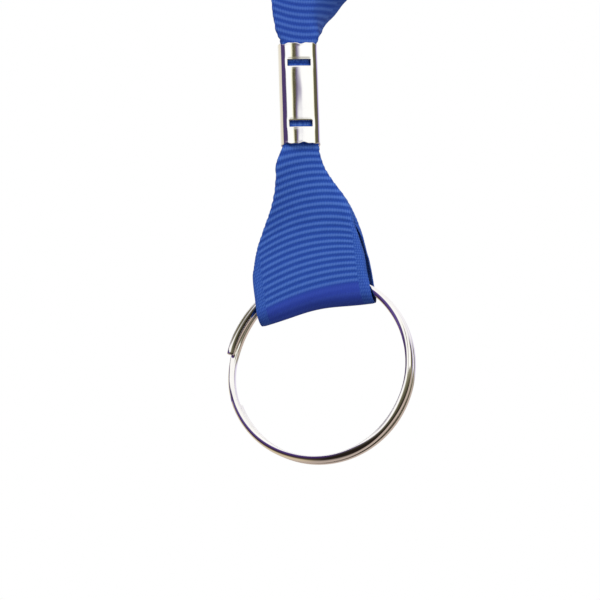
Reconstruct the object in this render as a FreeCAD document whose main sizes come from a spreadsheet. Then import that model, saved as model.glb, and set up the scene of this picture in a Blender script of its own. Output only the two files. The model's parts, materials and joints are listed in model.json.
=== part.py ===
"""Ribbon lanyard with a folded metal crimp and a split ring, hanging from its neck loop.

Millimetres, +Z up, front towards -Y. The origin is the top of the neck loop, on the
ribbon's inner face, where the loop rests over whatever carries it. Each object that has a
label below is one sub-part and one STEP file.
"""
import FreeCAD, Part
import math
import os
import Sketcher
from FreeCAD import Placement, Rotation, Vector
from Part import LineSegment

DIMENSIONS = {
    # neck ribbon
    "ribbon_width": 20.0,
    "ribbon_thickness": 0.7,
    "neck_drop": 396.3,
    # crimp
    "crimp_width": 6.5,
    "crimp_depth": 4.4,
    "crimp_length": 17.0,
    "crimp_corner": 1.9,
    "crimp_wall": 0.5,
    "crimp_yaw": 5.0,
    "slot_width": 3.9,
    "slot_height": 1.0,
    "slot_inset": 2.85,
    "seam_width": 0.2,
    "core_clearance": 0.1,
    # split ring
    "ring_radius": 16.0,
    "wire_width": 1.1,
    "wire_depth": 1.36,
    "wire_corner": 0.4,
    "coil_gap": 0.08,
    "tip_angle": 170.0,
    "ramp_angle": 25.0,
    "free_angle": 33.0,
    "free_gap": 0.06,
    "ring_offset": 2.2,
    "ring_drop": 37.5,
    "ring_yaw": -16.0,
    # ribbon loop that carries the ring
    "ply_thickness": 0.7,
    "fold_slope": 7.1,
    "fold_shift": 1.0,
    "fold_bottom": 9.0,
    "fold_top": 18.3,
    "fold_half_depth": 2.45,
    "fold_neck_half_depth": 1.75,
    "fold_shoulder": 16.4,
    "fold_corner": 1.2,
    "fold_lap": 0.1,
    "loop_clearance": 21.0,
    "loop_overrun": 1.0,
}

# The neck ribbon's centre line as (Y, Z): up from the crimp at the front, over, and down at the back.
NECK_ROUTE = [
    (-0.6, -394.2),
    (-2.9, -373.0),
    (-12.5, -333.0),
    (-36.0, -257.0),
    (-64.0, -125.0),
    (-69.5, -49.0),
    (-43.5, -10.5),
    (0.5, 3.7),
    (45.0, -10.5),
    (71.0, -49.0),
    (66.0, -124.0),
    (38.0, -255.0),
    (13.2, -332.0),
    (3.5, -373.0),
    (0.6, -394.2),
]

# An arc of the neck ribbon takes up this share of the shorter run beside it.
ARC_SHARE = 0.45

# Front view of the neck ribbon's gathered ends: half width at each height above their cut edge.
GATHER = [(-1.0, 3.1), (2.0, 4.4), (7.0, 7.6), (17.0, 10.5)]

# The loop ribbon between crimp and ring: drop below the crimp's top, width, sideways shift,
# half depth, and how far the yaw and slope have gone from the crimp's (0) to the fold's (1).
# LOOP_END is its width, shift and half depth where it meets the fold.
LOOP_STATIONS = [
    (18.4, 6.3, -0.2, 0.85, 0.0),
    (20.6, 8.0, -0.3, 0.95, 0.15),
    (24.0, 10.2, 0.6, 1.15, 0.4),
    (27.5, 13.0, 1.3, 1.35, 0.65),
    (30.6, 15.6, 1.4, 1.5, 0.85),
]
LOOP_END = (17.6, 1.35, 1.7)

# How many steps the split ring's ramp is lofted in.
RAMP_STEPS = 8

FRONT = Vector(0, -1, 0)
UP = Vector(0, 0, 1)

doc = FreeCAD.newDocument("lanyard")
sheet = doc.addObject("Spreadsheet::Sheet", "dims")


def fill_sheet():
    """One row for each driving dimension: its name, and its value under that alias."""
    for row, (alias, value) in enumerate(DIMENSIONS.items(), start=1):
        sheet.set(f"A{row}", alias)
        sheet.set(f"B{row}", str(value))
        sheet.setAlias(f"B{row}", alias)
    doc.recompute()


def dim(alias):
    return float(sheet.get(alias))


def bind(thing, **expressions):
    """Ties properties of an object to the sheet's cells."""
    for prop, expression in expressions.items():
        thing.setExpression(prop, expression)


def add(kind, name, **expressions):
    thing = doc.addObject(kind, name)
    bind(thing, **expressions)
    return thing


def label(thing, name, placement=None):
    """Makes an object a sub-part: its label names its file."""
    thing.Label = name
    if placement is not None:
        thing.Placement = placement
    return thing


def fixed_shape(name, shape):
    thing = doc.addObject("Part::Feature", name)
    thing.Shape = shape
    return thing


# ---------------------------------------------------------------- frames


def crimp_frame():
    """Origin at the middle of the crimp's top edge, turned to the crimp's yaw."""
    return Placement(Vector(0, 0, -dim("neck_drop")), Rotation(UP, dim("crimp_yaw")))


def ring_frame():
    """Origin at the ring's centre; X right, Y up and Z out of its front face."""
    drop = dim("neck_drop") + dim("crimp_length") + dim("ring_drop")
    turn = Rotation(UP, dim("ring_yaw")).multiply(Rotation(Vector(1, 0, 0), 90))
    return Placement(Vector(dim("ring_offset"), 0, -drop), turn)


def fold_frame():
    """The ring's frame turned in its own plane, so that X runs along the fold."""
    turned = Placement(Vector(), Rotation(Vector(0, 0, 1), dim("fold_slope")))
    shifted = Placement(Vector(dim("fold_shift"), 0, 0), Rotation())
    return ring_frame().multiply(turned).multiply(shifted)


# ---------------------------------------------------------------- neck ribbon


def corner_arcs(route):
    """Centre, radius, turn and both tangent points at each inner point of a flat route."""
    found = []
    for before, here, after in zip(route, route[1:], route[2:]):
        come = Vector(0, here[0] - before[0], here[1] - before[1])
        go = Vector(0, after[0] - here[0], after[1] - here[1])
        turn = come.getAngle(go)
        radius = ARC_SHARE * min(come.Length, go.Length) / math.tan(turn / 2)
        reach = radius * math.tan(turn / 2)
        corner = Vector(0, *here)
        start = corner - come.normalize() * reach
        end = corner + go.normalize() * reach
        inward = (go - come).normalize()
        centre = corner + inward * (radius / math.cos(turn / 2))
        found.append((centre, radius, start, end, corner))
    return found


def strip_edges(route, offset):
    """Straight runs joined by tangent arcs, moved sideways from the route by offset."""

    def moved(point, towards):
        side = Vector(0, towards.z, -towards.y).normalize()
        return point + side * offset

    arcs = corner_arcs(route)
    points = [Vector(0, *p) for p in route]
    edges = []
    last = moved(points[0], points[1] - points[0])
    for (centre, radius, start, end, corner), before, after in zip(arcs, points, points[2:]):
        first = moved(start, corner - before)
        final = moved(end, after - corner)
        middle = centre + (corner - centre).normalize() * (first - centre).Length
        edges.append(LineSegment(last, first).toShape())
        edges.append(Part.Arc(first, middle, final).toShape())
        last = final
    edges.append(LineSegment(last, moved(points[-1], points[-1] - points[-2])).toShape())
    return edges


def make_neck_ribbon():
    """A flat strip, its width along X, whose two ends are gathered above the crimp."""
    half = dim("ribbon_thickness") / 2
    outer = strip_edges(NECK_ROUTE, half)
    inner = strip_edges(NECK_ROUTE, -half)
    caps = [
        LineSegment(outer[0].Vertexes[0].Point, inner[0].Vertexes[0].Point).toShape(),
        LineSegment(outer[-1].Vertexes[-1].Point, inner[-1].Vertexes[-1].Point).toShape(),
    ]
    outline = Part.Wire(Part.__sortEdges__(outer + inner + caps))
    section = fixed_shape("neck_section", Part.Face(outline))
    strip = add("Part::Extrusion", "neck_strip", LengthFwd="dims.ribbon_width")
    strip.Base = section
    strip.DirMode = "Custom"
    strip.Dir = Vector(1, 0, 0)
    strip.Symmetric = True
    strip.Solid = True

    foot = NECK_ROUTE[0][1]
    points = [Vector(x, 0, foot + z) for z, x in GATHER]
    above = max(z for _, z in NECK_ROUTE) + dim("ribbon_thickness")
    points.append(Vector(points[-1].x, 0, above))
    points += [Vector(-p.x, 0, p.z) for p in reversed(points)]
    front_view = Part.Face(Part.makePolygon(points + points[:1]))
    gather = add("Part::Extrusion", "gather_block")
    gather.Base = fixed_shape("gather_outline", front_view)
    gather.DirMode = "Custom"
    gather.Dir = Vector(0, 1, 0)
    gather.LengthFwd = dim("neck_drop")
    gather.Symmetric = True
    gather.Solid = True

    ribbon = doc.addObject("Part::Common", "neck_common")
    ribbon.Base = strip
    ribbon.Tool = gather
    return label(ribbon, "neck_ribbon"), strip


# ---------------------------------------------------------------- crimp


def base_plane(body, role):
    return next(f for f in body.Origin.OriginFeatures if f.Role == role)


def add_sketch(body, name, plane):
    sketch = body.newObject("Sketcher::SketchObject", name)
    sketch.AttachmentSupport = (base_plane(body, plane), [""])
    sketch.MapMode = "FlatFace"
    return sketch


def sketch_rectangle(sketch, width, height, depth=None):
    """A rectangle centred on the sketch's vertical axis, its sizes tied to expressions.

    depth is how far its lower edge lies under the sketch's origin, and without it the
    rectangle is centred on the origin.
    """
    corners = [Vector(-2, -1, 0), Vector(2, -1, 0), Vector(2, 1, 0), Vector(-2, 1, 0)]
    for a, b in zip(corners, corners[1:] + corners[:1]):
        sketch.addGeometry(LineSegment(a, b), False)
    for i in range(4):
        sketch.addConstraint(Sketcher.Constraint("Coincident", i, 2, (i + 1) % 4, 1))
    for i in (1, 3):
        sketch.addConstraint(Sketcher.Constraint("Vertical", i))
    sketch.addConstraint(Sketcher.Constraint("Horizontal", 2))
    w = sketch.addConstraint(Sketcher.Constraint("DistanceX", 0, 1, 0, 2, 4.0))
    h = sketch.addConstraint(Sketcher.Constraint("DistanceY", 1, 1, 1, 2, 2.0))
    sketch.setExpression(f"Constraints[{w}]", width)
    sketch.setExpression(f"Constraints[{h}]", height)
    if depth is None:
        sketch.addConstraint(Sketcher.Constraint("Horizontal", 0))
        sketch.addConstraint(Sketcher.Constraint("Symmetric", 0, 1, 2, 1, -1, 1))
        return
    sketch.addConstraint(Sketcher.Constraint("Symmetric", 0, 1, 0, 2, -2))
    d = sketch.addConstraint(Sketcher.Constraint("DistanceY", 0, 1, -1, 1, 1.0))
    sketch.setExpression(f"Constraints[{d}]", depth)


def upright_edges(shape):
    """Names of the straight edges that run along Z."""
    names = []
    for i, edge in enumerate(shape.Edges, start=1):
        a, b = edge.Vertexes[0].Point, edge.Vertexes[-1].Point
        if math.hypot(a.x - b.x, a.y - b.y) < 1e-6 and abs(a.z - b.z) > 1:
            names.append(f"Edge{i}")
    return names


def make_crimp():
    """A sleeve folded from sheet, with two slots in front and its seam down the back."""
    body = doc.addObject("PartDesign::Body", "crimp_body")
    outline = add_sketch(body, "crimp_outline", "XY_Plane")
    sketch_rectangle(outline, "dims.crimp_width", "dims.crimp_depth")
    block = body.newObject("PartDesign::Pad", "crimp_block")
    block.Profile = outline
    block.Reversed = True
    bind(block, Length="dims.crimp_length")
    doc.recompute()

    rounded = body.newObject("PartDesign::Fillet", "crimp_rounding")
    rounded.Base = (block, upright_edges(block.Shape))
    bind(rounded, Radius="dims.crimp_corner")
    doc.recompute()

    ends = [
        f"Face{i}"
        for i, face in enumerate(rounded.Shape.Faces, start=1)
        if abs(abs(face.normalAt(0, 0).z) - 1) < 1e-6
    ]
    sleeve = body.newObject("PartDesign::Thickness", "crimp_sleeve")
    sleeve.Base = (rounded, ends)
    sleeve.Reversed = True
    bind(sleeve, Value="dims.crimp_wall")
    doc.recompute()

    slot = add_sketch(body, "slot_outline", "XZ_Plane")
    reach = "dims.slot_inset + dims.slot_height / 2"
    sketch_rectangle(slot, "dims.slot_width", "dims.slot_height", reach)
    cut = body.newObject("PartDesign::Pocket", "slot_cut")
    cut.Profile = slot
    cut.Reversed = True
    bind(cut, Length="dims.crimp_depth")
    doc.recompute()

    both = body.newObject("PartDesign::LinearPattern", "slot_pair")
    both.Originals = [cut]
    both.Direction = (base_plane(body, "Z_Axis"), [""])
    both.Reversed = True
    both.Occurrences = 2
    bind(both, Length="dims.crimp_length - 2 * dims.slot_inset")
    body.Tip = both
    doc.recompute()

    seam = add_sketch(body, "seam_outline", "XZ_Plane")
    sketch_rectangle(seam, "dims.seam_width", "2 * dims.crimp_length", "1.5 * dims.crimp_length")
    split = body.newObject("PartDesign::Pocket", "seam_cut")
    split.Profile = seam
    bind(split, Length="dims.crimp_depth")
    body.Tip = split
    doc.recompute()
    return label(body, "crimp", crimp_frame())


def make_ribbon_core():
    """The gathered ribbon that fills the crimp and shows through its slots."""
    inside = "2 * dims.crimp_wall - 2 * dims.core_clearance"
    block = add(
        "Part::Box",
        "core_block",
        Length=f"dims.crimp_width - {inside}",
        Width=f"dims.crimp_depth - {inside}",
        Height="dims.crimp_length - 4 * dims.core_clearance",
    )
    doc.recompute()
    core = doc.addObject("Part::Fillet", "core_rounding")
    core.Base = block
    radius = dim("crimp_corner") - dim("crimp_wall") - dim("core_clearance")
    core.Edges = [(int(name[4:]), radius, radius) for name in upright_edges(block.Shape)]
    size = (block.Length.Value, block.Width.Value, block.Height.Value)
    middle = Vector(-size[0] / 2, -size[1] / 2, -(dim("crimp_length") + size[2]) / 2)
    return label(core, "ribbon_core", crimp_frame().multiply(Placement(middle, Rotation())))


# ---------------------------------------------------------------- split ring


def wire_section():
    """The ring wire's rounded section, in the XZ plane, centred on its own middle."""
    w, d, r = dim("wire_width") / 2, dim("wire_depth") / 2, dim("wire_corner")
    edges = []
    for sx, sz, first in [(1, 1, 0), (-1, 1, 90), (-1, -1, 180), (1, -1, 270)]:
        centre = Vector(sx * (w - r), 0, sz * (d - r))
        p = [
            centre + Vector(r * math.cos(math.radians(a)), 0, r * math.sin(math.radians(a)))
            for a in (first, first + 45, first + 90)
        ]
        edges.append(Part.Arc(*p).toShape())
    count = len(edges)
    sides = [
        LineSegment(edges[i].Vertexes[1].Point, edges[(i + 1) % count].Vertexes[0].Point).toShape()
        for i in range(count)
    ]
    return Part.Wire([e for pair in zip(edges, sides) for e in pair])


def section_at(angle, lift):
    """The section moved to an angle round the ring, and lifted along the ring's axis."""
    radius = dim("ring_radius") - dim("wire_width") / 2
    wire = wire_section()
    wire.translate(Vector(radius, 0, lift))
    wire.rotate(Vector(), UP, angle)
    return wire


def coil(name, start, sweep, lift):
    """Part of one flat turn of wire, anticlockwise from start as seen from the front."""
    turn = doc.addObject("Part::Revolution", name)
    turn.Source = fixed_shape(name + "_section", Part.Face(section_at(start, lift)))
    turn.Axis = UP
    bind(turn, Angle=sweep)
    return turn


def make_split_ring():
    """Two flat turns joined by a ramp, and the free end that lifts off as its own piece."""
    lift = (dim("wire_depth") + dim("coil_gap")) / 2
    tip, ramp, free = dim("tip_angle"), dim("ramp_angle"), dim("free_angle")
    start = tip + ramp - 360
    back = coil("back_turn", start, "360 - dims.ramp_angle", -lift)
    front = coil(
        "front_turn", start, "360 - dims.ramp_angle - dims.free_angle", lift
    )
    sections = []
    for i in range(RAMP_STEPS + 1):
        t = i / RAMP_STEPS
        rise = lift * (2 * t * t * (3 - 2 * t) - 1)
        sections.append(section_at(tip + ramp * t, rise))
    slope = fixed_shape("ramp", Part.makeLoft(sections, True, False))
    ring = doc.addObject("Part::MultiFuse", "ring_fuse")
    ring.Shapes = [back, slope, front]
    label(ring, "split_ring", ring_frame())

    gap = math.degrees(dim("free_gap") / dim("ring_radius"))
    end = coil("free_turn", tip - free + gap, f"dims.free_angle - {gap:.4f}", lift)
    return ring, label(end, "ring_free_end", ring_frame())


# ---------------------------------------------------------------- ribbon loop


def make_loop_fold():
    """The ribbon's turn under the ring: a channel, open at the top, along the fold."""
    ply = dim("ply_thickness")
    wide, narrow = dim("fold_half_depth"), dim("fold_neck_half_depth")
    top, shoulder, bottom = dim("fold_top"), dim("fold_shoulder"), dim("fold_bottom")
    inner_shoulder = shoulder - dim("fold_lap")
    r = dim("fold_corner")
    bend = r * (1 - math.sqrt(0.5))

    def side(sign):
        def at(depth, height):
            return Vector(0, height, sign * depth)

        return at

    front, back = side(1), side(-1)
    edges = []
    for at in (front, back):
        corner = (at(wide, bottom + r), at(wide - bend, bottom + bend), at(wide - r, bottom))
        edges += [
            LineSegment(at(narrow - ply, top), at(narrow, top)),
            LineSegment(at(narrow, top), at(wide, shoulder)),
            LineSegment(at(wide, shoulder), corner[0]),
            Part.Arc(*corner),
            LineSegment(at(narrow - ply, top), at(wide - ply, inner_shoulder)),
            LineSegment(at(wide - ply, inner_shoulder), at(wide - ply, bottom + ply)),
        ]
    edges += [
        LineSegment(front(wide - r, bottom), back(wide - r, bottom)),
        LineSegment(front(wide - ply, bottom + ply), back(wide - ply, bottom + ply)),
    ]
    outline = Part.Wire(Part.__sortEdges__([e.toShape() for e in edges]))
    fold = add("Part::Extrusion", "fold_channel", LengthFwd="dims.ribbon_width")
    fold.Base = fixed_shape("fold_section", Part.Face(outline))
    fold.DirMode = "Custom"
    fold.Dir = Vector(1, 0, 0)
    fold.Symmetric = True
    fold.Solid = True
    return label(fold, "loop_fold", fold_frame())


def cross_section(width, half_depth, place):
    """A rectangle across the ribbon loop, flat in the placement's XY plane."""
    w = width / 2
    points = [Vector(-w, -half_depth, 0), Vector(w, -half_depth, 0)]
    points += [Vector(w, half_depth, 0), Vector(-w, half_depth, 0)]
    wire = Part.makePolygon(points + points[:1])
    wire.Placement = place
    return wire


def loop_placements():
    """Where each station of the loop ribbon lies, from the crimp to above the ring."""
    places = []
    for drop, width, shift, half_depth, share in LOOP_STATIONS:
        yaw = dim("crimp_yaw") + share * (dim("ring_yaw") - dim("crimp_yaw"))
        turn = Rotation(UP, yaw).multiply(Rotation(FRONT, -share * dim("fold_slope")))
        place = Placement(Vector(shift, 0, -dim("neck_drop") - drop), turn)
        places.append((place, width, half_depth))
    width, shift, half_depth = LOOP_END
    across = Placement(Vector(0, dim("loop_clearance"), 0), Rotation(Vector(1, 0, 0), -90))
    places.append((fold_frame().multiply(across), width, half_depth))
    return places


def make_end_loop():
    """Two plies of ribbon that spread from the crimp's mouth towards the ring."""
    places = loop_placements()
    outer = [cross_section(width, depth, place) for place, width, depth in places]
    ply = dim("ply_thickness")
    inner = []
    for place, width, depth in places[1:]:
        inner.append(cross_section(2 * width, depth - ply, place))
    end = Vector(0, dim("loop_clearance") - dim("loop_overrun"), 0)
    overrun = Placement(end, Rotation(Vector(1, 0, 0), -90))
    last_width, _, last_depth = LOOP_END
    inner.append(cross_section(2 * last_width, last_depth - ply, fold_frame().multiply(overrun)))
    spread = doc.addObject("Part::Cut", "loop_cut")
    spread.Base = fixed_shape("loop_outside", Part.makeLoft(outer, True, True))
    spread.Tool = fixed_shape("loop_inside", Part.makeLoft(inner, True, True))
    return label(spread, "end_loop")


# ---------------------------------------------------------------- build, check, write


def say_radii():
    """The radius of each arc of the neck ribbon's route."""
    for _, radius, _, _, corner in corner_arcs(NECK_ROUTE):
        print(f"neck ribbon arc at Y {corner.y:.1f} Z {corner.z:.1f}: radius {radius:.1f}")


def main():
    fill_sheet()
    neck_ribbon, strip = make_neck_ribbon()
    ring, free_end = make_split_ring()
    parts = [
        neck_ribbon,
        make_crimp(),
        make_ribbon_core(),
        make_end_loop(),
        make_loop_fold(),
        ring,
        free_end,
    ]
    doc.recompute()
    for thing in doc.Objects:
        bad = {"Invalid", "Error"} & set(thing.State)
        if bad:
            raise RuntimeError(f"{thing.Name} is {bad}")
    for part in parts:
        shape = part.Shape
        if shape.isNull() or not shape.isValid() or len(shape.Solids) != 1:
            raise RuntimeError(f"{part.Label} isn't one valid solid")

    say_radii()
    centre_line = Part.Wire(Part.__sortEdges__(strip_edges(NECK_ROUTE, 0)))
    section = dim("ribbon_width") * dim("ribbon_thickness")
    print(f"neck ribbon length {centre_line.Length:.1f}")
    print(f"strip volume {strip.Shape.Volume:.1f}, section x length {section * centre_line.Length:.1f}")

    os.makedirs("parts", exist_ok=True)
    for part in parts:
        part.Shape.exportStep(f"parts/{part.Label}.step")
        box = part.Shape.BoundBox
        print(f"{part.Label}: {part.Shape.Volume:.1f} mm3, {box}")


main()
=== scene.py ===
"""Looks of the ribbon lanyard: the camera, the woven ribbon, the plated crimp and ring, and a pale studio.

Lengths are in millimetres in the CAD model's frame (+Z up, front towards -Y, origin at the top of the
neck loop), and build_mesh turns them into metres.
"""
import json
import math

import bpy
import numpy as np
from mathutils import Matrix, Vector


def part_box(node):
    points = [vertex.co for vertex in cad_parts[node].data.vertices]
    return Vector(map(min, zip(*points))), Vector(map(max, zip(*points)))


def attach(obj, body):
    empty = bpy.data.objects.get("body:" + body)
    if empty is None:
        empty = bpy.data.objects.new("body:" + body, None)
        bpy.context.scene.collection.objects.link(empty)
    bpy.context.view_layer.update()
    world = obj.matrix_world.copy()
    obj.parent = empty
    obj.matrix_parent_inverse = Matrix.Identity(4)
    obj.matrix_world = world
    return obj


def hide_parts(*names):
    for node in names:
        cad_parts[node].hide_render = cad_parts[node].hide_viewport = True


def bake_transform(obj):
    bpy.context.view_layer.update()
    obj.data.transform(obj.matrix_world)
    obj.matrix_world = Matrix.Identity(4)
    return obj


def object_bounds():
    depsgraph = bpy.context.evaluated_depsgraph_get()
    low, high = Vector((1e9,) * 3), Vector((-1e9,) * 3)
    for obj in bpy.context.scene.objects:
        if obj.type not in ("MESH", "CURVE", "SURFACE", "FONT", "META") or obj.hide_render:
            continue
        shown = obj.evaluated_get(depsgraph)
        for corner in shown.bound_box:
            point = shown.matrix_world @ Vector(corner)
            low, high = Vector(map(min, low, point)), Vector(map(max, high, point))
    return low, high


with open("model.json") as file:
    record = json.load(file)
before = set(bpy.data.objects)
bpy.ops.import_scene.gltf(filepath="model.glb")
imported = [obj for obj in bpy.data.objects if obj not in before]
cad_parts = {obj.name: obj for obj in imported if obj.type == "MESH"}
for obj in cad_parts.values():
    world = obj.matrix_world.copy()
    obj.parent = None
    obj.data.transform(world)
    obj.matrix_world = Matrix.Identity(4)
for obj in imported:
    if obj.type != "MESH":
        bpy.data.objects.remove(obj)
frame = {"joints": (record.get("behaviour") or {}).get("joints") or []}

CAD_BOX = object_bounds()
SCENE = bpy.context.scene
MM = 0.001
JOINTS = {joint["name"]: joint for joint in frame["joints"]}


def in_mm(point):
    return np.array(point, float) / MM


def in_metres(point):
    return tuple(float(x) * MM for x in point)


def unit(vector):
    return np.array(vector, float) / np.linalg.norm(vector)


# ------------------------------------------------------------ places that the CAD model gives

CRIMP_LOW, CRIMP_HIGH = (in_mm(corner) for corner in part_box("crimp"))
CRIMP_TOP = np.array([0.0, 0.0, CRIMP_HIGH[2]])
CRIMP_FOOT = np.array([0.0, 0.0, CRIMP_LOW[2]])
CRIMP_LENGTH = CRIMP_TOP[2] - CRIMP_FOOT[2]
UP = np.array([0.0, 0.0, 1.0])
CRIMP_ACROSS = unit(JOINTS["crimp_swing"]["axis"])
CRIMP_FRONT = np.cross(CRIMP_ACROSS, UP)
RING_CENTRE = in_mm(JOINTS["ring_spin"]["pos_m"])
RING_FRONT = unit(JOINTS["ring_spin"]["axis"])
RING_ACROSS = np.cross(UP, RING_FRONT)
FOLD_ACROSS = unit(JOINTS["ring_swing"]["axis"])
FOLD_UP = np.cross(RING_FRONT, FOLD_ACROSS)

# ------------------------------------------------------------ sizes

# The ribbon: CLOTH_HALF is half its thickness between the ribs, RIB_SHARPNESS how narrow their crests
# are, SELVEDGE the width of each beaded edge, SELVEDGE_BLEND how far the ribs take to fade into it, and
# BEAD_SHARE the beads' height against the ribs'. The outermost EDGE_TAPER thins by EDGE_THINNING.
RIBBON_WIDTH = 19.8
HALF = RIBBON_WIDTH / 2
CLOTH_HALF = 0.15
RIB_PITCH = 1.1
RIB_HEIGHT = 0.06
RIB_SHARPNESS = 1.5
BEAD_SHARE = 0.5
SELVEDGE = 1.9
SELVEDGE_BLEND = 0.3
EDGE_TAPER = 0.5
EDGE_THINNING = 0.5

# A side of a ply turns behind it on this radius. If it is folded right back, which a turn past this
# cosine is, the cloth behind is squeezed to be narrower than the ply by the margin.
LEFT_HEM = 0.26
RIGHT_HEM = 0.42
FOLDED_COSINE = -0.2
FLAP_MARGIN = 0.4

# The neck ribbon's route as (Y, Z), which part.py has too: up at the front, over, and down at the back.
NECK_ROUTE = [
    (-0.6, -394.2),
    (-2.9, -373.0),
    (-12.5, -333.0),
    (-36.0, -257.0),
    (-64.0, -125.0),
    (-69.5, -49.0),
    (-43.5, -10.5),
    (0.5, 3.7),
    (45.0, -10.5),
    (71.0, -49.0),
    (66.0, -124.0),
    (38.0, -255.0),
    (13.2, -332.0),
    (3.5, -373.0),
    (0.6, -394.2),
]

# How each end of the neck ribbon is gathered, by height above the crimp: where its left and right
# sides turn behind its face, by how many degrees, and how far the face stands off its route.
FRONT_GATHER = [
    (-4.0, 2.4, 2.4, 180, 180, 0.75),
    (0.0, 2.75, 3.0, 180, 170, 0.75),
    (0.5, 3.05, 3.25, 180, 148, 0.72),
    (1.0, 3.3, 3.42, 180, 110, 0.7),
    (2.1, 3.55, 3.5, 180, 87, 0.65),
    (3.1, 3.7, 3.45, 180, 81, 0.6),
    (4.1, 3.8, 3.5, 180, 73, 0.5),
    (5.0, 3.9, 3.7, 180, 63, 0.45),
    (6.0, 4.0, 3.85, 180, 54, 0.4),
    (6.85, 4.1, 4.0, 178, 46, 0.3),
    (7.7, 4.3, 4.2, 172, 34, 0.22),
    (9.0, 4.6, 4.6, 160, 28, 0.15),
    (12.0, 6.0, 6.0, 115, 13, 0.0),
    (15.0, 7.4, 7.4, 66, 6, 0.0),
    (20.0, 9.0, 9.0, 15, 0, 0.0),
    (26.0, 9.9, 9.9, 0, 0, 0.0),
]
BACK_GATHER = [
    (-4.0, 2.4, 2.4, 180, 180, 0.75),
    (0.0, 2.7, 2.7, 180, 180, 0.75),
    (2.5, 3.0, 2.8, 180, 180, 0.65),
    (8.0, 3.4, 3.0, 180, 180, 0.3),
    (12.0, 4.2, 3.8, 175, 175, 0.0),
    (17.0, 6.2, 6.2, 115, 115, 0.0),
    (23.0, 8.8, 8.8, 30, 30, 0.0),
    (29.0, 9.9, 9.9, 0, 0, 0.0),
]

# The loop below the crimp, by distance below the crimp's mouth: how far its face reaches left and
# right of the ribbon's middle, how far each ply stands from the loop's middle, and how much the ribs
# tilt and arch.
LOOP_SHAPE = [
    (-4.0, 2.4, 2.4, 1.3, 0.0, 0.0),
    (-0.5, 2.6, 2.6, 1.3, 0.0, 0.0),
    (0.3, 3.0, 2.85, 1.3, 0.02, 0.02),
    (1.2, 3.6, 2.85, 1.3, 0.06, 0.03),
    (2.2, 4.1, 3.05, 1.3, 0.10, 0.034),
    (4.0, 4.25, 3.6, 1.25, 0.12, 0.034),
    (6.4, 4.6, 4.95, 1.2, 0.11, 0.03),
    (8.8, 5.4, 6.65, 1.15, 0.08, 0.028),
    (11.8, 7.15, 8.25, 1.15, 0.04, 0.027),
    (14.2, 8.4, 9.05, 1.2, 0.03, 0.025),
    (16.5, 9.2, 9.5, 1.3, 0.03, 0.022),
    (19.5, 9.6, 9.75, 1.6, 0.06, 0.018),
    (22.5, 9.6, 9.8, 1.9, 0.08, 0.015),
    (26.0, 9.75, 9.8, 2.05, 0.08, 0.011),
    (30.0, 9.9, 9.9, 2.1, 0.08, 0.0075),
]
# How much further in the right side of each ply lies, and the distances below the crimp over which
# that comes and goes.
BACK_TUCK = 0.42
BACK_TUCK_COMES = (13, 19)
FRONT_TUCK = 0.5
FRONT_TUCK_COMES = (10, 15)
FRONT_TUCK_GOES = (23, 28)
# How near the crimp and the cut the loop starts and stops turning from the crimp's directions to the
# fold's.
TWIST_START = 0.5
TWIST_END = 0.3

# The fold that carries the ring. Heights are above the ring's centre, along FOLD_UP: where the loop's
# two pieces meet, and the fold's underside. Its ribs are smooth within the band, by distance from the
# fold's lowest line, and the band is painted in shade.
CUT_HEIGHT = 24.0
FOLD_SHIFT = 1.0
FOLD_BOTTOM = 9.7
FOLD_RADIUS = 2.2
FOLD_ARCH = 0.0075
FOLD_WAVE = 0.3
FOLD_WAVE_LENGTH = 14
FOLD_BAND = (3.4, 4.7)
FOLD_BAND_RELIEF = 0.1

# ------------------------------------------------------------ small helpers

SHARP_ANGLE = math.radians(50)


def smooth(low, high, x):
    """0 at low and 1 at high, easing in and out between them. high may be below low."""
    t = np.clip((x - low) / (high - low), 0, 1)
    return t * t * (3 - 2 * t)


def along(table, x):
    """What a table holds at x, which its first column gives, on smooth curves through its rows."""
    rows = np.array(table, float)
    keys = rows[:, 0]
    if x <= keys[0]:
        return rows[0, 1:]
    if x >= keys[-1]:
        return rows[-1, 1:]
    i = int(np.searchsorted(keys, x)) - 1
    slopes = np.gradient(rows[:, 1:], keys, axis=0)
    width = keys[i + 1] - keys[i]
    t = (x - keys[i]) / width
    a, b = rows[i, 1:], rows[i + 1, 1:]
    bend = slopes[i] * (t - 2 * t**2 + t**3) + slopes[i + 1] * (t**3 - t**2)
    return a + (b - a) * (3 * t**2 - 2 * t**3) + bend * width


def tube_faces(rows, count, turned=False):
    """Squares round a tube of rows that have count points each, and its two flat ends."""
    faces = []
    for i in range(rows - 1):
        for j in range(count):
            a, b = i * count + j, i * count + (j + 1) % count
            square = (a, b, b + count, a + count)
            faces.append((a, *square[:0:-1]) if turned else square)
    first = tuple(range(count))
    last = tuple(range((rows - 1) * count, rows * count))
    faces.append(first if turned else first[::-1])
    faces.append(last[::-1] if turned else last)
    return faces


def build_mesh(name, points, faces, marks=None):
    """A smooth-shaded object from points in millimetres.

    Each mark is a point's place across and along the ribbon, in millimetres, and how ribbed it is.
    """
    mesh = bpy.data.meshes.new(name)
    mesh.from_pydata((np.array(points) * MM).tolist(), [], faces)
    mesh.shade_smooth()
    mesh.set_sharp_from_angle(angle=SHARP_ANGLE)
    if marks is not None:
        layer = mesh.uv_layers.new(name="weave")
        owner = np.zeros(len(mesh.loops), int)
        mesh.loops.foreach_get("vertex_index", owner)
        marks = np.array(marks, np.float32)
        layer.data.foreach_set("uv", marks[owner, :2].ravel())
        ribbed = mesh.attributes.new("ribbed", "FLOAT", "POINT")
        ribbed.data.foreach_set("value", marks[:, 2].copy())
    thing = bpy.data.objects.new(name, mesh)
    SCENE.collection.objects.link(thing)
    return thing


# ------------------------------------------------------------ camera

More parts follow.
